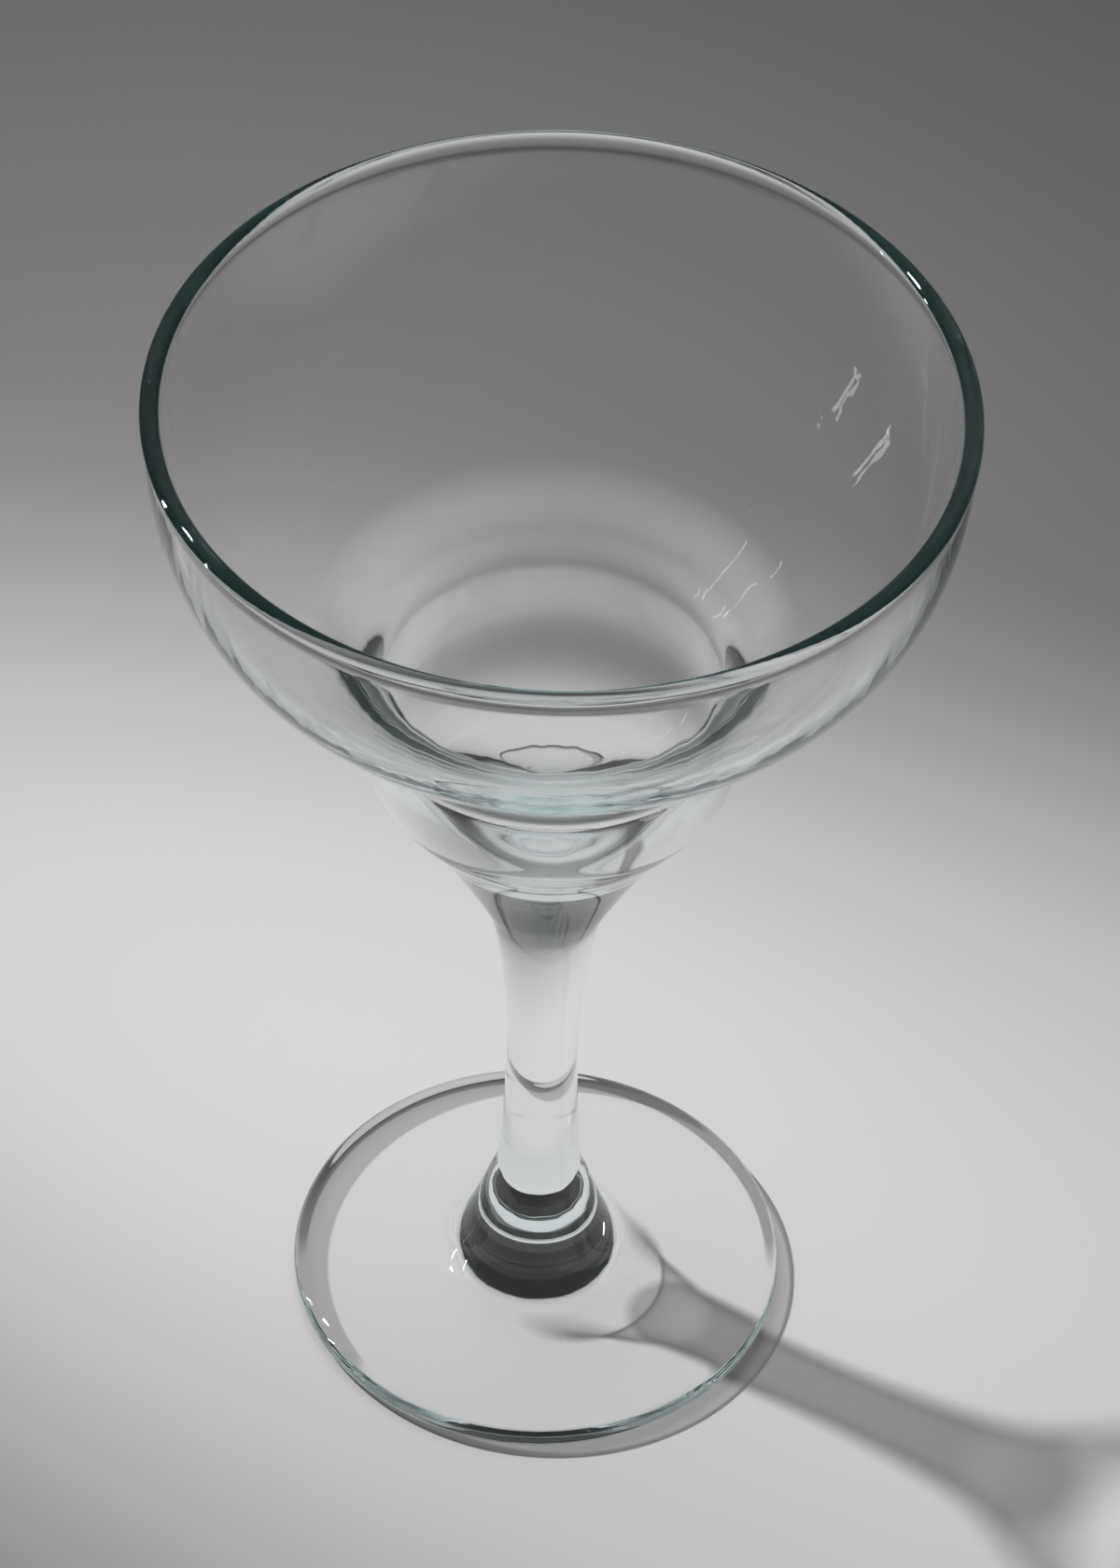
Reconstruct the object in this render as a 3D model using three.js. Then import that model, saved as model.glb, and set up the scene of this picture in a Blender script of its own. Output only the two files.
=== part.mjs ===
// Margarita glass in clear soda-lime glass. Millimetres, +Z up, axis on Z, standing on z = 0.
// Three pieces are fused hot, end to end: a pressed foot, a solid stem and a blown bowl.
import * as THREE from "three";

// Foot: a disc that stands on a flat ring, with a boss that flares up to the stem
const FOOT_DIAMETER = 71;
const FOOT_EDGE = 4.2; // thickness of the fully rounded edge
const FOOT_HEIGHT = 23; // standing plane to the joint with the stem
const STANDING_RING = 3.8; // width of the flat ring under the foot
const HOLLOW_DEPTH = 1.4; // hollow of the underside, at the axis
const DISC_SLOPE = 4; // climb of the disc's top towards the boss, degrees
const BOSS_DIAMETER = 28.6; // where the boss leaves the disc

// Stem: a solid rod, drawn in at its waist and flared at the top
const STEM_LENGTH = 54.5;
const STEM_BASE_DIAMETER = 12;
const WAIST_DIAMETER = 10.2;
const WAIST_HEIGHT = 24; // joint with the foot to the waist
const STEM_TOP_DIAMETER = 16.8;
const FLARE_SLOPE = 66; // lean of the outside at the joint with the bowl, degrees

// Bowl: a small cup below the crease and a wide coupe above it, in one wall
const CUP_HEIGHT = 43; // joint with the stem to the crease
const CREASE_DIAMETER = 52.4;
const COUPE_HEIGHT = 51.5; // crease to the top of the rim
const RIM_DIAMETER = 110;
const RIM_THICKNESS = 1.8; // wall just below the rim
const RIM_BEAD = 2.6; // diameter of the round bead that ends the wall
const NECK_ROUND = 0.8; // rounding between the wall and the bead
const SHOULDER_THICKNESS = 2.6; // what the coupe's wall thickens to at the crease
const CREASE_ROUND = 2.5; // rounding of the crease, outside
const STEP_START = 12; // crease to where the inside starts to turn down, along the coupe's side
const THROAT_DIAMETER = 46; // inside of the cup at its top
const THROAT_HEIGHT = 43; // joint with the stem to the throat
const CUP_FLOOR = 16.5; // solid glass between the joint and the bottom of the cup

// Form of the free curves: each handle is a share of the stretch that it bends
const BOSS_HANDLES = { out: [0.5, 0.07], up: [0.27, 0.27] };
const LOWER_STEM_HANDLES = { base: [0.57, 0.28], waist: 0.26 };
const UPPER_STEM_HANDLES = { waist: 0.46, flare: 0.11 };
const CUP_HANDLES = { joint: 0.81, crease: [0.045, 0.48] };
const COUPE_HANDLES = { crease: [0.5, 0.385], rim: 0.53 };
const STEP_HANDLES = { coupe: 0.35, throat: 0.35 };
const WELL_HANDLES = { throat: 0.78, floor: 0.58 };

// Fineness of the facets
const SIDES = 48;
const FINE = 14;
const MEDIUM = 10;
const COARSE = 4;

const at = (radius, height) => new THREE.Vector2(radius, height);
const between = (start, end, [across, along]) =>
  at(start.x + (end.x - start.x) * across, start.y + (end.y - start.y) * along);

// Points of a curve, evenly spaced over the share of its length from first to last
function stretch(curve, steps, first = 0, last = 1) {
  const places = Array.from({ length: steps + 1 }, (_, i) => first + ((last - first) * i) / steps);
  return places.map((place) => curve.getPointAt(place));
}

// A point of the wall's inner face: the outline's point, moved in along its normal
function inward(curve, place, thickness) {
  const along = curve.getTangentAt(place);
  return curve.getPointAt(place).add(at(-along.y, along.x).multiplyScalar(thickness));
}

// A piece of glass turned from its half section, which starts and ends on the axis
function turned(name, outline, base) {
  const profile = outline.filter((point, i) => i === 0 || point.distanceTo(outline[i - 1]) > 1e-6);
  const geometry = new THREE.LatheGeometry(profile, SIDES);
  geometry.rotateX(Math.PI / 2);
  const glass = new THREE.MeshStandardMaterial({
    color: 0xe6f0ed, roughness: 0.03, metalness: 0, transparent: true, opacity: 0.35,
  });
  const piece = new THREE.Mesh(geometry, glass);
  piece.name = name;
  piece.position.z = base;
  return piece;
}

function makeFoot() {
  const edgeRadius = FOOT_EDGE / 2;
  const edgeCentre = at(FOOT_DIAMETER / 2 - edgeRadius, edgeRadius);
  const hollowRadius = edgeCentre.x - STANDING_RING;
  const slope = THREE.MathUtils.degToRad(DISC_SLOPE);
  const hollow = new THREE.QuadraticBezierCurve(
    at(0, HOLLOW_DEPTH), at(hollowRadius / 2, HOLLOW_DEPTH), at(hollowRadius, 0));
  const edge = new THREE.EllipseCurve(
    edgeCentre.x, edgeCentre.y, edgeRadius, edgeRadius, -Math.PI / 2, Math.PI / 2 - slope);
  const discTop = edge.getPoint(1);
  const bossStart = at(BOSS_DIAMETER / 2, discTop.y + (discTop.x - BOSS_DIAMETER / 2) * Math.tan(slope));
  const joint = at(STEM_BASE_DIAMETER / 2, FOOT_HEIGHT);
  const boss = new THREE.CubicBezierCurve(
    bossStart, between(bossStart, joint, BOSS_HANDLES.out),
    between(joint, bossStart, BOSS_HANDLES.up), joint);
  return turned("foot", [
    ...stretch(hollow, COARSE), ...stretch(edge, MEDIUM), ...stretch(boss, FINE), at(0, FOOT_HEIGHT),
  ], 0);
}

function makeStem() {
  const base = at(STEM_BASE_DIAMETER / 2, 0);
  const waist = at(WAIST_DIAMETER / 2, WAIST_HEIGHT);
  const top = at(STEM_TOP_DIAMETER / 2, STEM_LENGTH);
  const slope = THREE.MathUtils.degToRad(FLARE_SLOPE);
  const upper = STEM_LENGTH - WAIST_HEIGHT;
  const flare = UPPER_STEM_HANDLES.flare * upper;
  const lowerSide = new THREE.CubicBezierCurve(
    base, between(base, waist, LOWER_STEM_HANDLES.base),
    at(waist.x, waist.y - LOWER_STEM_HANDLES.waist * WAIST_HEIGHT), waist);
  const upperSide = new THREE.CubicBezierCurve(
    waist, at(waist.x, waist.y + UPPER_STEM_HANDLES.waist * upper),
    at(top.x - flare * Math.cos(slope), top.y - flare * Math.sin(slope)), top);
  return turned("stem", [
    at(0, 0), ...stretch(lowerSide, MEDIUM), ...stretch(upperSide, FINE), at(0, STEM_LENGTH),
  ], FOOT_HEIGHT);
}

function makeBowl() {
  const joint = at(STEM_TOP_DIAMETER / 2, 0);
  const crease = at(CREASE_DIAMETER / 2, CUP_HEIGHT);
  const beadRadius = RIM_BEAD / 2;
  const beadCentre = at(RIM_DIAMETER / 2 - beadRadius, CUP_HEIGHT + COUPE_HEIGHT - beadRadius);
  const neck = Math.acos(RIM_THICKNESS / RIM_BEAD);
  const rim = at(beadCentre.x + RIM_THICKNESS / 2, beadCentre.y - beadRadius * Math.sin(neck));

  // Outside: the cup's side, the rounded crease, the coupe's side and the bead
  const slope = THREE.MathUtils.degToRad(FLARE_SLOPE);
  const reach = (CUP_HANDLES.joint * CUP_HEIGHT) / Math.sin(slope);
  const [bulge, drop] = CUP_HANDLES.crease;
  const cupSide = new THREE.CubicBezierCurve(
    joint, at(joint.x + reach * Math.cos(slope), reach * Math.sin(slope)),
    at(crease.x + bulge * (crease.x - joint.x), crease.y - drop * CUP_HEIGHT), crease);
  const coupeSide = new THREE.CubicBezierCurve(
    crease, between(crease, rim, COUPE_HANDLES.crease),
    at(rim.x, rim.y - COUPE_HANDLES.rim * COUPE_HEIGHT), rim);
  const creaseBelow = 1 - CREASE_ROUND / cupSide.getLength();
  const creaseAbove = CREASE_ROUND / coupeSide.getLength();
  const neckBelow = 1 - NECK_ROUND / coupeSide.getLength();
  const creaseTurn = new THREE.QuadraticBezierCurve(
    cupSide.getPointAt(creaseBelow), crease, coupeSide.getPointAt(creaseAbove));
  const beadStart = NECK_ROUND / beadRadius - neck;
  const bead = new THREE.EllipseCurve(
    beadCentre.x, beadCentre.y, beadRadius, beadRadius, beadStart, Math.PI - beadStart);
  const neckOutside = new THREE.QuadraticBezierCurve(coupeSide.getPointAt(neckBelow), rim, bead.getPoint(0));

  // Inside: the coupe's wall thickens towards the crease, then turns down into the round-bottomed cup
  const wall = (place) => THREE.MathUtils.lerp(SHOULDER_THICKNESS, RIM_THICKNESS, place);
  const stepStart = STEP_START / coupeSide.getLength();
  const coupeInside = Array.from({ length: FINE + 1 }, (_, i) => {
    const place = THREE.MathUtils.lerp(neckBelow, stepStart, i / FINE);
    return inward(coupeSide, place, wall(place));
  });
  const neckInside = new THREE.QuadraticBezierCurve(
    bead.getPoint(1), at(rim.x - RIM_THICKNESS, rim.y), coupeInside[0]);
  const shoulder = coupeInside[FINE];
  const throat = at(THROAT_DIAMETER / 2, THROAT_HEIGHT);
  const down = coupeSide.getTangentAt(stepStart).negate();
  const span = shoulder.distanceTo(throat);
  const step = new THREE.CubicBezierCurve(
    shoulder, shoulder.clone().addScaledVector(down, STEP_HANDLES.coupe * span),
    at(throat.x, throat.y + STEP_HANDLES.throat * span), throat);
  const depth = THROAT_HEIGHT - CUP_FLOOR;
  const well = new THREE.CubicBezierCurve(
    throat, at(throat.x, throat.y - WELL_HANDLES.throat * depth),
    at(throat.x * WELL_HANDLES.floor, CUP_FLOOR), at(0, CUP_FLOOR));

  return turned("bowl", [
    at(0, 0), ...stretch(cupSide, FINE, 0, creaseBelow), ...stretch(creaseTurn, COARSE),
    ...stretch(coupeSide, FINE, creaseAbove, neckBelow), ...stretch(neckOutside, COARSE),
    ...stretch(bead, MEDIUM), ...stretch(neckInside, COARSE), ...coupeInside,
    ...stretch(step, MEDIUM), ...stretch(well, FINE).slice(0, -1), at(0, CUP_FLOOR),
  ], FOOT_HEIGHT + STEM_LENGTH);
}

const margaritaGlass = new THREE.Group();
margaritaGlass.add(makeFoot(), makeStem(), makeBowl());

export default margaritaGlass;
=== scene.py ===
# Margarita glass in clear soda-lime glass, standing on a pale floor. Metres, +Z up, axis on Z.
import math
import bpy
import bmesh
from mathutils import Matrix, Vector


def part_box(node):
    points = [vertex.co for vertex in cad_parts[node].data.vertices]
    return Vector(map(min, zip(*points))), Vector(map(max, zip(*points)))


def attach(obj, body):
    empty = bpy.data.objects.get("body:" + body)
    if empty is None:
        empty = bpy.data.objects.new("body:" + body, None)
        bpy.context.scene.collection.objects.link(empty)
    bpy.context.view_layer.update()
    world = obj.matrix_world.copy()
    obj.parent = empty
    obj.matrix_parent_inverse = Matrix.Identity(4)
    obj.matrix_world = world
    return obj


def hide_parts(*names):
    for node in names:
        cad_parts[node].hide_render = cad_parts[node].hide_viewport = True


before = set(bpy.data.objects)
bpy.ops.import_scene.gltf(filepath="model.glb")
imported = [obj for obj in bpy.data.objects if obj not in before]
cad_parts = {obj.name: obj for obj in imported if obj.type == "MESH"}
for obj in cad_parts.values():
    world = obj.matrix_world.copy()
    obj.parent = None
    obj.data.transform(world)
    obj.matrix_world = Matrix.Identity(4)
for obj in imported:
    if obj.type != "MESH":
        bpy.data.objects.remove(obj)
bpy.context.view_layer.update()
scene = bpy.context.scene

# Camera: a long lens that looks down on the glass at 46 degrees, with the horizon a little tilted.
# It was fitted to the ellipses of the rim and the foot and to the outline.
MM = 0.001
IMAGE_HEIGHT = 1680  # pixels
FOCAL_LENGTH = 7683.7  # pixels
SENSOR = 36  # millimetres, as the camera's lens is
LOOKING_DOWN = math.radians(45.697)
TILT = math.radians(-1.838)
EYE = Vector((1.31, -686.42, 804.21)) * MM

ahead = Vector((0, math.cos(LOOKING_DOWN), -math.sin(LOOKING_DOWN)))
level = Vector((1, 0, 0))
below = ahead.cross(level)
right = math.cos(TILT) * level + math.sin(TILT) * below
down = math.cos(TILT) * below - math.sin(TILT) * level
lens = bpy.data.cameras.new("camera")
lens.sensor_width = SENSOR
lens.lens = FOCAL_LENGTH / IMAGE_HEIGHT * SENSOR
camera = bpy.data.objects.new("camera", lens)
camera.matrix_world = Matrix.Translation(EYE) @ Matrix((right, -down, -ahead)).transposed().to_4x4()
scene.collection.objects.link(camera)
scene.camera = camera

# Foot: a pressed disc of clear glass, with a thick round edge and a boss that flares up to the stem.
# It stands on a flat ring, and its underside is hollow. The stem is fused to it hot.
foot_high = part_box("foot")[1]
foot_radius = foot_high.x
foot_top = foot_high.z
FOOT_EDGE = 4.2 * MM
STANDING_RING = 3.8 * MM
HOLLOW_DEPTH = 1.4 * MM
DISC_SLOPE = math.radians(4)
BOSS_RADIUS = 14.3 * MM
STEM_BASE_RADIUS = 6 * MM
# Handles of a curve, here and below, are shares of the stretch that it bends.
BOSS_HANDLES = {"out": (0.5, 0.07), "up": (0.27, 0.27)}
SIDES = 192  # facets round the axis
SAME_PLACE = 0.0001 * MM  # points nearer than this are one

# Soda-lime glass, pressed or blown and then fire-polished: clear, with a wet shine, and teal only where
# light has gone a long way inside it. Drawing the hot glass leaves low upright waves that bend what shows
# through. All three pieces are made of it.
GLASS_INDEX = 1.52
TEAL_PER_METRE = "#62c8be"  # colour of the face that light leaves by, after a metre inside
REFLECTED_STEP = 25 * MM  # glass that stands for each reflection inside the wall
WAVE_SPACING = 6 * MM
WAVE_CLIMB = 0.3  # how fast the waves change with height, beside how fast they change across
WAVE_HEIGHT = 0.04 * MM
FINER_WAVES = 2  # times that waves of half the spacing are laid over them
SLANT_BLEND = 0.35
SLANTS = (0.3, 0.8)  # from nearly square to the light to nearly along it
# Shares of the light that a face lets on to the floor. A square face adds what the others throw there.
SHADOW_FLAT = 1.05
SHADOW_SLANTED = 0.25
SHADOW_ROUND = 0.5  # a tight round passes this share of that


def linear(colour):
    """An sRGB hex colour as linear red, green, blue and alpha."""
    parts = [int(colour[i:i + 2], 16) / 255 for i in (1, 3, 5)]
    return [part / 12.92 if part <= 0.04045 else ((part + 0.055) / 1.055) ** 2.4 for part in parts] + [1]


def add_node(tree, kind, inputs=None, links=None, **settings):
    """Adds a node with its settings and the values and links of its inputs."""
    node = tree.nodes.new(kind)
    for name, value in settings.items():
        setattr(node, name, value)
    for name, value in (inputs or {}).items():
        node.inputs[name].default_value = value
    for name, source in (links or {}).items():
        tree.links.new(source, node.inputs[name])
    return node


soda_lime_glass = bpy.data.materials.new("soda_lime_glass")
soda_lime_glass.use_nodes = True
tree = soda_lime_glass.node_tree
tree.nodes.clear()
place = add_node(tree, "ShaderNodeTexCoord")
drawn = add_node(tree, "ShaderNodeVectorMath", {1: (1, 1, WAVE_CLIMB)}, {0: place.outputs["Object"]},
                 operation="MULTIPLY")
waves = add_node(tree, "ShaderNodeTexNoise", {"Scale": 1 / WAVE_SPACING, "Detail": FINER_WAVES},
                 {"Vector": drawn.outputs[0]})
polish = add_node(tree, "ShaderNodeBump", {"Strength": 1.0, "Distance": WAVE_HEIGHT},
                  {"Height": waves.outputs["Fac"]})
path = add_node(tree, "ShaderNodeLightPath")
surface = add_node(tree, "ShaderNodeNewGeometry")
inside = add_node(tree, "ShaderNodeMath", {1: REFLECTED_STEP},
                  {0: path.outputs["Glossy Depth"], 2: path.outputs["Ray Length"]},
                  operation="MULTIPLY_ADD")
depth = add_node(tree, "ShaderNodeMath", {}, {0: inside.outputs[0], 1: surface.outputs["Backfacing"]},
                 operation="MULTIPLY")
teal = add_node(tree, "ShaderNodeGamma", {"Color": linear(TEAL_PER_METRE)}, {"Gamma": depth.outputs[0]})
body = add_node(tree, "ShaderNodeBsdfPrincipled",
                {"Roughness": 0.0, "IOR": GLASS_INDEX, "Transmission Weight": 1.0},
                {"Base Color": teal.outputs[0], "Normal": polish.outputs[0]})
slant = add_node(tree, "ShaderNodeLayerWeight", {"Blend": SLANT_BLEND})
passed = add_node(tree, "ShaderNodeMapRange",
                  {"From Min": SLANTS[0], "From Max": SLANTS[1],
                   "To Min": SHADOW_FLAT, "To Max": SHADOW_SLANTED},
                  {"Value": slant.outputs["Facing"]})
rounds = add_node(tree, "ShaderNodeAttribute", attribute_name="round")
thrown = add_node(tree, "ShaderNodeMapRange", {"To Min": 1.0, "To Max": SHADOW_ROUND},
                  {"Value": rounds.outputs["Fac"]})
shadow = add_node(tree, "ShaderNodeMath", {}, {0: passed.outputs[0], 1: thrown.outputs[0]},
                  operation="MULTIPLY")
lit_through = add_node(tree, "ShaderNodeBsdfTransparent", {}, {"Color": shadow.outputs[0]})
either = add_node(tree, "ShaderNodeMixShader", {},
                  {0: path.outputs["Is Shadow Ray"], 1: body.outputs[0], 2: lit_through.outputs[0]})
add_node(tree, "ShaderNodeOutputMaterial", {}, {"Surface": either.outputs[0]})

# Glass fused to glass: no surface is left where two pieces met, so light goes straight on.
# It covers only the flat ends of the pieces.
fused_glass = bpy.data.materials.new("fused_glass")
fused_glass.use_nodes = True
tree = fused_glass.node_tree
tree.nodes.clear()
straight_on = add_node(tree, "ShaderNodeBsdfTransparent")
add_node(tree, "ShaderNodeOutputMaterial", {}, {"Surface": straight_on.outputs[0]})


def at(radius, height):
    """A point of a half section."""
    return Vector((radius, height))


def between(start, end, share):
    """The point at a share of the way from start to end, given for the radius and the height."""
    across, along = share
    return at(start.x + (end.x - start.x) * across, start.y + (end.y - start.y) * along)


def curve(*handles, steps):
    """Points of the Bezier curve with these handles."""
    points = []
    for step in range(steps + 1):
        row = list(handles)
        while len(row) > 1:
            row = [a.lerp(b, step / steps) for a, b in zip(row, row[1:])]
        points.append(row[0])
    return points


def arc(centre, radius, start, end, steps):
    """Points of a round from one angle to another."""
    angles = [start + (end - start) * step / steps for step in range(steps + 1)]
    return [centre + at(math.cos(angle), math.sin(angle)) * radius for angle in angles]


def turned(name, outline, joints, rounded):
    """A closed solid, turned about Z from its half section.

    Its flat ends at the joints are fused to the next piece.
    The rounded points of the section are marked, because a tight round throws light aside.
    """
    mesh = bmesh.new()
    roundness = mesh.verts.layers.float.new("round")
    rings = []
    for point, before in zip(outline, [None, *outline]):
        if before and (point - before).length < SAME_PLACE:
            continue
        turns = SIDES if point.x > SAME_PLACE else 1
        angles = [2 * math.pi * side / SIDES for side in range(turns)]
        ring = [mesh.verts.new((point.x * math.cos(a), point.x * math.sin(a), point.y)) for a in angles]
        for corner in ring:
            corner[roundness] = any(point is spot for spot in rounded)
        rings.append(ring)
    for lower, upper in zip(rings, rings[1:]):
        height = lower[0].co.z
        flat = abs(height - upper[0].co.z) < SAME_PLACE
        fused = flat and any(abs(height - joint) < SAME_PLACE for joint in joints)
        for side in range(SIDES):
            corners = [lower[side % len(lower)], lower[(side + 1) % len(lower)],
                       upper[(side + 1) % len(upper)], upper[side % len(upper)]]
            face = mesh.faces.new(list(dict.fromkeys(corners)))
            face.smooth = True
            face.material_index = int(fused)
    for line in mesh.edges:
        line.smooth = len({face.material_index for face in line.link_faces}) == 1
    data = bpy.data.meshes.new(name)
    mesh.to_mesh(data)
    mesh.free()
    data.materials.append(soda_lime_glass)
    data.materials.append(fused_glass)
    piece = bpy.data.objects.new(name, data)
    scene.collection.objects.link(piece)
    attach(piece, "root")
    return piece


edge_radius = FOOT_EDGE / 2
edge_centre = at(foot_radius - edge_radius, edge_radius)
hollow_radius = edge_centre.x - STANDING_RING
hollow = curve(at(0, HOLLOW_DEPTH), at(hollow_radius / 2, HOLLOW_DEPTH), at(hollow_radius, 0), steps=24)
edge = arc(edge_centre, edge_radius, -math.pi / 2, math.pi / 2 - DISC_SLOPE, steps=24)
disc_rise = (edge[-1].x - BOSS_RADIUS) * math.tan(DISC_SLOPE)
boss_start = at(BOSS_RADIUS, edge[-1].y + disc_rise)
foot_joint = at(STEM_BASE_RADIUS, foot_top)
disc = curve(edge[-1], boss_start, steps=12)
boss = curve(boss_start, between(boss_start, foot_joint, BOSS_HANDLES["out"]),
             between(foot_joint, boss_start, BOSS_HANDLES["up"]), foot_joint, steps=40)
foot = turned("pressed_foot", [*hollow, *edge, *disc, *boss, at(0, foot_top)], [foot_top], edge[1:-1])
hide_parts("foot")

# Stem: a solid rod of the same glass, drawn in at its waist and flared at the top.
# It is fused hot to the foot below and to the bowl above.
stem_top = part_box("stem")[1].z
STEM_TOP_RADIUS = 8.4 * MM
WAIST_RADIUS = 5.1 * MM
WAIST_HEIGHT = 24 * MM
FLARE_SLOPE = math.radians(66)
LOWER_STEM_HANDLES = {"base": (0.57, 0.28), "waist": 0.26}
UPPER_STEM_HANDLES = {"waist": 0.46, "flare": 0.11}

waist = at(WAIST_RADIUS, foot_top + WAIST_HEIGHT)
bowl_joint = at(STEM_TOP_RADIUS, stem_top)
upper_length = bowl_joint.y - waist.y
flare = at(math.cos(FLARE_SLOPE), math.sin(FLARE_SLOPE))
lower_side = curve(foot_joint, between(foot_joint, waist, LOWER_STEM_HANDLES["base"]),
                   at(waist.x, waist.y - LOWER_STEM_HANDLES["waist"] * WAIST_HEIGHT), waist, steps=24)
upper_side = curve(waist, at(waist.x, waist.y + UPPER_STEM_HANDLES["waist"] * upper_length),
                   bowl_joint - flare * UPPER_STEM_HANDLES["flare"] * upper_length, bowl_joint, steps=36)
stem_side = [*lower_side, *upper_side]
stem_outline = [at(0, foot_top), *stem_side, at(0, stem_top)]
stem = turned("drawn_stem", stem_outline, [foot_top, stem_top], stem_side)
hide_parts("stem")

# Bowl: blown clear glass, a wide coupe over a small round-bottomed cup, in one wall with a crease outside.
# The lip is a bead, rounded in the fire, and the thick bottom of the cup is fused to the stem.
bowl_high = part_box("bowl")[1]
rim_radius = bowl_high.x
rim_top = bowl_high.z
CUP_HEIGHT = 43 * MM
CREASE_RADIUS = 26.2 * MM
RIM_THICKNESS = 1.8 * MM
RIM_BEAD = 2.6 * MM
NECK_ROUND = 0.8 * MM
SHOULDER_THICKNESS = 2.6 * MM
CREASE_ROUND = 2.5 * MM
STEP_START = 12 * MM
THROAT_RADIUS = 23 * MM
THROAT_HEIGHT = 43 * MM
CUP_FLOOR = 16.5 * MM
CUP_HANDLES = {"joint": 0.81, "crease": (0.045, 0.48)}
COUPE_HANDLES = {"crease": (0.5, 0.385), "rim": 0.53}
STEP_HANDLES = {"coupe": 0.35, "throat": 0.35}
WELL_HANDLES = {"throat": 0.78, "floor": 0.58}


def lengths(points):
    """How far along the line each of its points is."""
    totals = [0.0]
    for start, end in zip(points, points[1:]):
        totals.append(totals[-1] + (end - start).length)
    return totals


bead_radius = RIM_BEAD / 2
bead_centre = at(rim_radius - bead_radius, rim_top - bead_radius)
neck = math.acos(RIM_THICKNESS / RIM_BEAD)
rim = bead_centre + at(math.cos(neck), -math.sin(neck)) * bead_radius
crease = at(CREASE_RADIUS, stem_top + CUP_HEIGHT)
coupe_height = rim_top - crease.y
cup_reach = CUP_HANDLES["joint"] * CUP_HEIGHT / math.sin(FLARE_SLOPE)
bulge, drop = CUP_HANDLES["crease"]
cup_bulge = at(crease.x + bulge * (crease.x - bowl_joint.x), crease.y - drop * CUP_HEIGHT)
cup_side = curve(bowl_joint, bowl_joint + flare * cup_reach, cup_bulge, crease, steps=80)
coupe_side = curve(crease, between(crease, rim, COUPE_HANDLES["crease"]),
                   at(rim.x, rim.y - COUPE_HANDLES["rim"] * coupe_height), rim, steps=120)
cup_lengths = lengths(cup_side)
coupe_lengths = lengths(coupe_side)
cup_end = cup_lengths[-1] - CREASE_ROUND
coupe_end = coupe_lengths[-1] - NECK_ROUND
cup_outside = [point for point, run in zip(cup_side, cup_lengths) if run < cup_end]
coupe_outside = [point for point, run in zip(coupe_side, coupe_lengths) if CREASE_ROUND < run < coupe_end]
crease_turn = curve(cup_outside[-1], crease, coupe_outside[0], steps=12)
bead_start = NECK_ROUND / bead_radius - neck
bead = arc(bead_centre, bead_radius, bead_start, math.pi - bead_start, steps=24)
neck_outside = curve(coupe_outside[-1], rim, bead[0], steps=8)

coupe_inside = []
for before, point, run in zip(coupe_side, coupe_side[1:], coupe_lengths[1:]):
    if STEP_START <= run < coupe_end:
        along = (point - before).normalized()
        share = run / coupe_lengths[-1]
        wall = SHOULDER_THICKNESS + (RIM_THICKNESS - SHOULDER_THICKNESS) * share
        coupe_inside.insert(0, point + at(-along.y, along.x) * wall)
neck_inside = curve(bead[-1], at(rim.x - RIM_THICKNESS, rim.y), coupe_inside[0], steps=8)
shoulder = coupe_inside[-1]
throat = at(THROAT_RADIUS, stem_top + THROAT_HEIGHT)
well_bottom = at(0, stem_top + CUP_FLOOR)
span = (throat - shoulder).length
well_depth = throat.y - well_bottom.y
turning_down = (coupe_inside[-1] - coupe_inside[-2]).normalized()
step_down = curve(shoulder, shoulder + turning_down * STEP_HANDLES["coupe"] * span,
                  throat + at(0, STEP_HANDLES["throat"] * span), throat, steps=32)
well = curve(throat, throat - at(0, WELL_HANDLES["throat"] * well_depth),
             at(WELL_HANDLES["floor"] * throat.x, well_bottom.y), well_bottom, steps=48)
bowl_outside = [at(0, stem_top), *cup_outside, *crease_turn, *coupe_outside, *neck_outside, *bead]
bowl_inside = [*neck_inside, *coupe_inside, *step_down, *well]
bowl = turned("blown_bowl", [*bowl_outside, *bowl_inside], [stem_top], bead)
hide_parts("bowl")

# Floor: seamless matt paper, pale grey and flat, on which only the light and the shadow show.
# It lies a hair below the standing ring, so that the two faces are never the same.
FLOOR_SIZE = 6
FLOOR_GAP = 0.02 * MM
PAPER_GREY = "#dcdcdd"
PAPER_ROUGHNESS = 0.9
PAPER_SHINE = 0.2

matt_paper = bpy.data.materials.new("matt_paper")
matt_paper.use_nodes = True
paper = matt_paper.node_tree.nodes["Principled BSDF"]
paper.inputs["Base Color"].default_value = linear(PAPER_GREY)
paper.inputs["Roughness"].default_value = PAPER_ROUGHNESS
paper.inputs["Specular IOR Level"].default_value = PAPER_SHINE
half = FLOOR_SIZE / 2
corners = [(x, y, -FLOOR_GAP) for x, y in ((-half, -half), (half, -half), (half, half), (-half, half))]
sheet = bpy.data.meshes.new("floor")
sheet.from_pydata(corners, [], [range(4)])
sheet.materials.append(matt_paper)
floor = bpy.data.objects.new("floor", sheet)
scene.collection.objects.link(floor)

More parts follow.
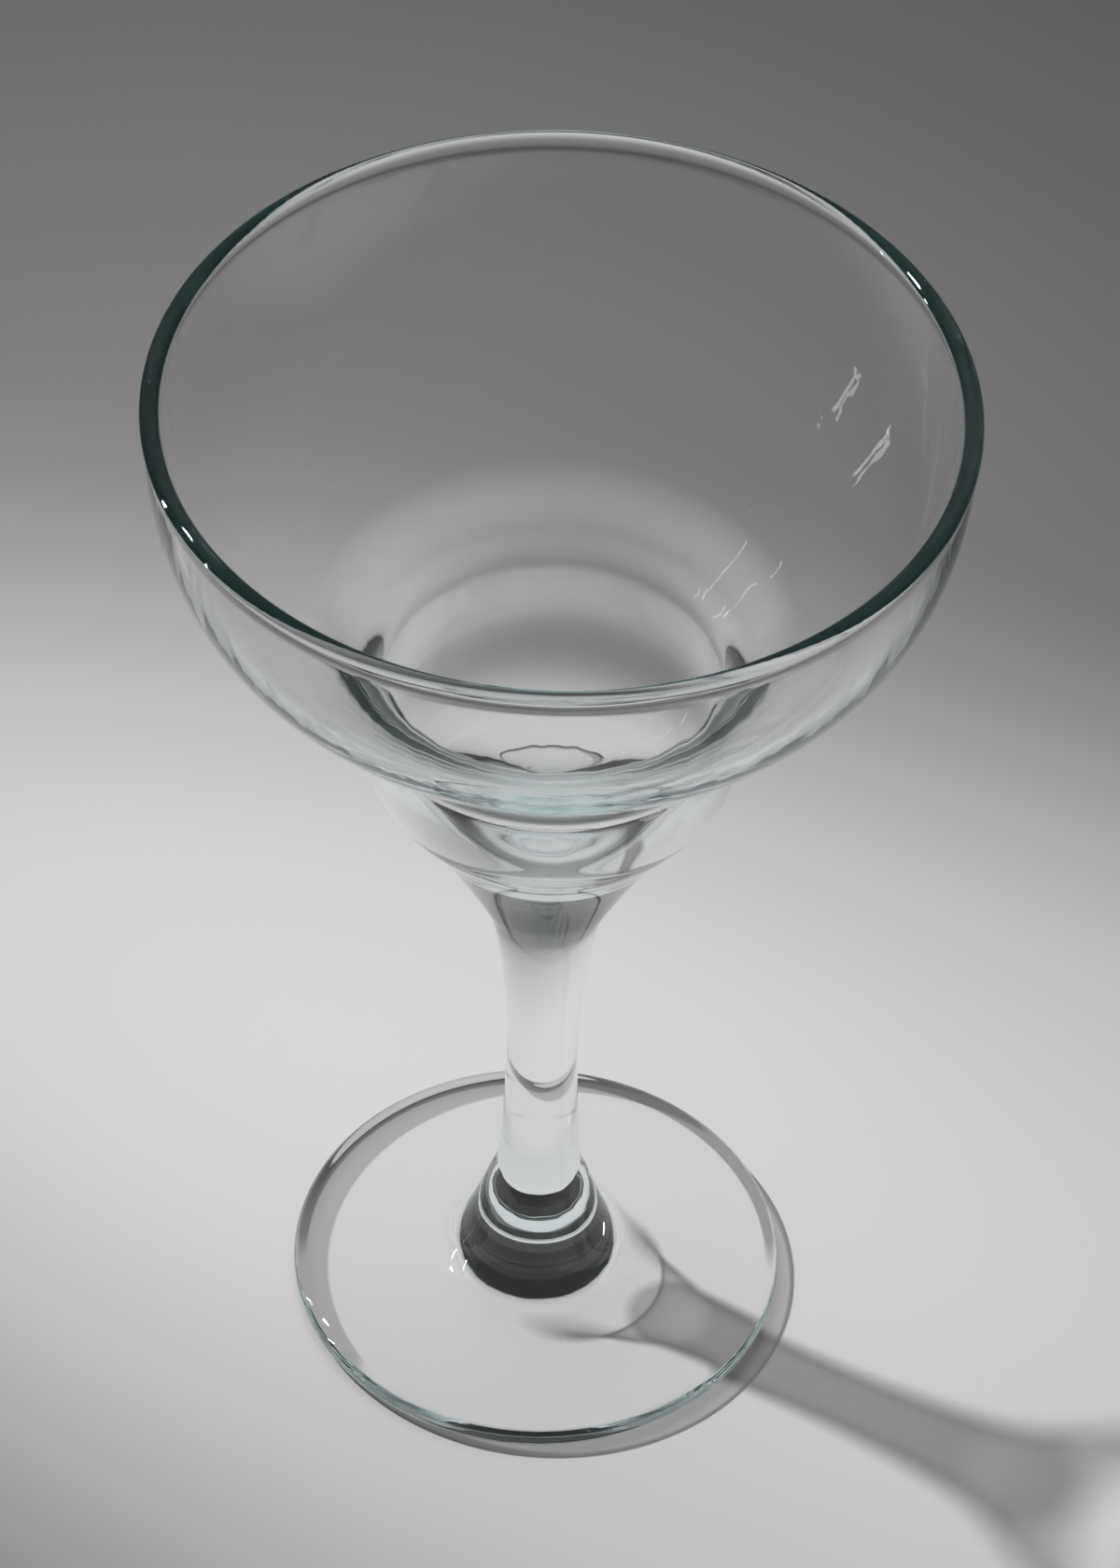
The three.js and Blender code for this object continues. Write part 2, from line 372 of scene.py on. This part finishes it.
# Light: a key lamp behind on the left, masked to a band of floor, throws the shadow to the front right.
# A small soft lamp close above fills it. Two low strips on the left show only in the glass, as bright
# lines. Past their reach all is dim, so the glass shows dark streaks.
KEY_PLACE = Vector((-0.75, 0.4, 0.9))
KEY_AIM = Vector((0.34, -0.15, 0))
KEY_POWER = 62  # watts
KEY_CONE = math.radians(15)
KEY_FADE = 1  # the beam fades all the way from its middle to its edge
KEY_STRETCH = 3  # the beam is this many times longer than wide
KEY_RADIUS = 0.03
FILL_PLACE = Vector((-0.06, 0.09, 0.3))
FILL_POWER = 0.33  # watts
FILL_WIDTH = 0.2
STRIP_PLACES = (Vector((-0.8, 0, 0.18)), Vector((-0.75, 0.25, 0.18)))
STRIP_AIM = Vector((0, 0, 0.13))
STRIP_POWER = 0.7  # watts, each
STRIP_WIDTH = 0.012
STRIP_LENGTH = 0.3
ROOM_COLOUR = "#ffffff"
ROOM_STRENGTH = 0.03

key = bpy.data.lights.new("key", "SPOT")
key.energy = KEY_POWER
key.spot_size = KEY_CONE
key.spot_blend = KEY_FADE
key.shadow_soft_size = KEY_RADIUS
key_lamp = bpy.data.objects.new("key", key)
key_lamp.location = KEY_PLACE
key_lamp.rotation_euler = (KEY_AIM - KEY_PLACE).to_track_quat("-Z", "Y").to_euler()
key_lamp.scale = (1, KEY_STRETCH, 1)
scene.collection.objects.link(key_lamp)
fill = bpy.data.lights.new("fill", "AREA")
fill.energy = FILL_POWER
fill.size = FILL_WIDTH
fill_lamp = bpy.data.objects.new("fill", fill)
fill_lamp.location = FILL_PLACE
fill_lamp.visible_camera = False
fill_lamp.visible_glossy = False
fill_lamp.visible_transmission = False
scene.collection.objects.link(fill_lamp)
for strip_place in STRIP_PLACES:
    strip = bpy.data.lights.new("strip", "AREA")
    strip.energy = STRIP_POWER
    strip.shape = "RECTANGLE"
    strip.size = STRIP_WIDTH
    strip.size_y = STRIP_LENGTH
    strip_lamp = bpy.data.objects.new("strip", strip)
    strip_lamp.location = strip_place
    strip_lamp.rotation_euler = (STRIP_AIM - strip_place).to_track_quat("-Z", "Y").to_euler()
    strip_lamp.visible_camera = False
    strip_lamp.visible_diffuse = False
    scene.collection.objects.link(strip_lamp)
room = bpy.data.worlds.new("room")
room.use_nodes = True
background = room.node_tree.nodes["Background"]
background.inputs["Color"].default_value = linear(ROOM_COLOUR)
background.inputs["Strength"].default_value = ROOM_STRENGTH
scene.world = room

# Light goes round inside the rim and the foot's edge many times before it leaves them.
# Light that the glass bends on to the floor isn't traced, because the glass's shadow stands in for it.
BOUNCES = 64
GLARE_LIMIT = 4  # caps light that arrives by a bounce, against stray specks
scene.view_settings.view_transform = "Standard"
scene.cycles.max_bounces = BOUNCES
scene.cycles.glossy_bounces = BOUNCES
scene.cycles.transmission_bounces = BOUNCES
scene.cycles.caustics_refractive = False
scene.cycles.caustics_reflective = False
scene.cycles.sample_clamp_indirect = GLARE_LIMIT
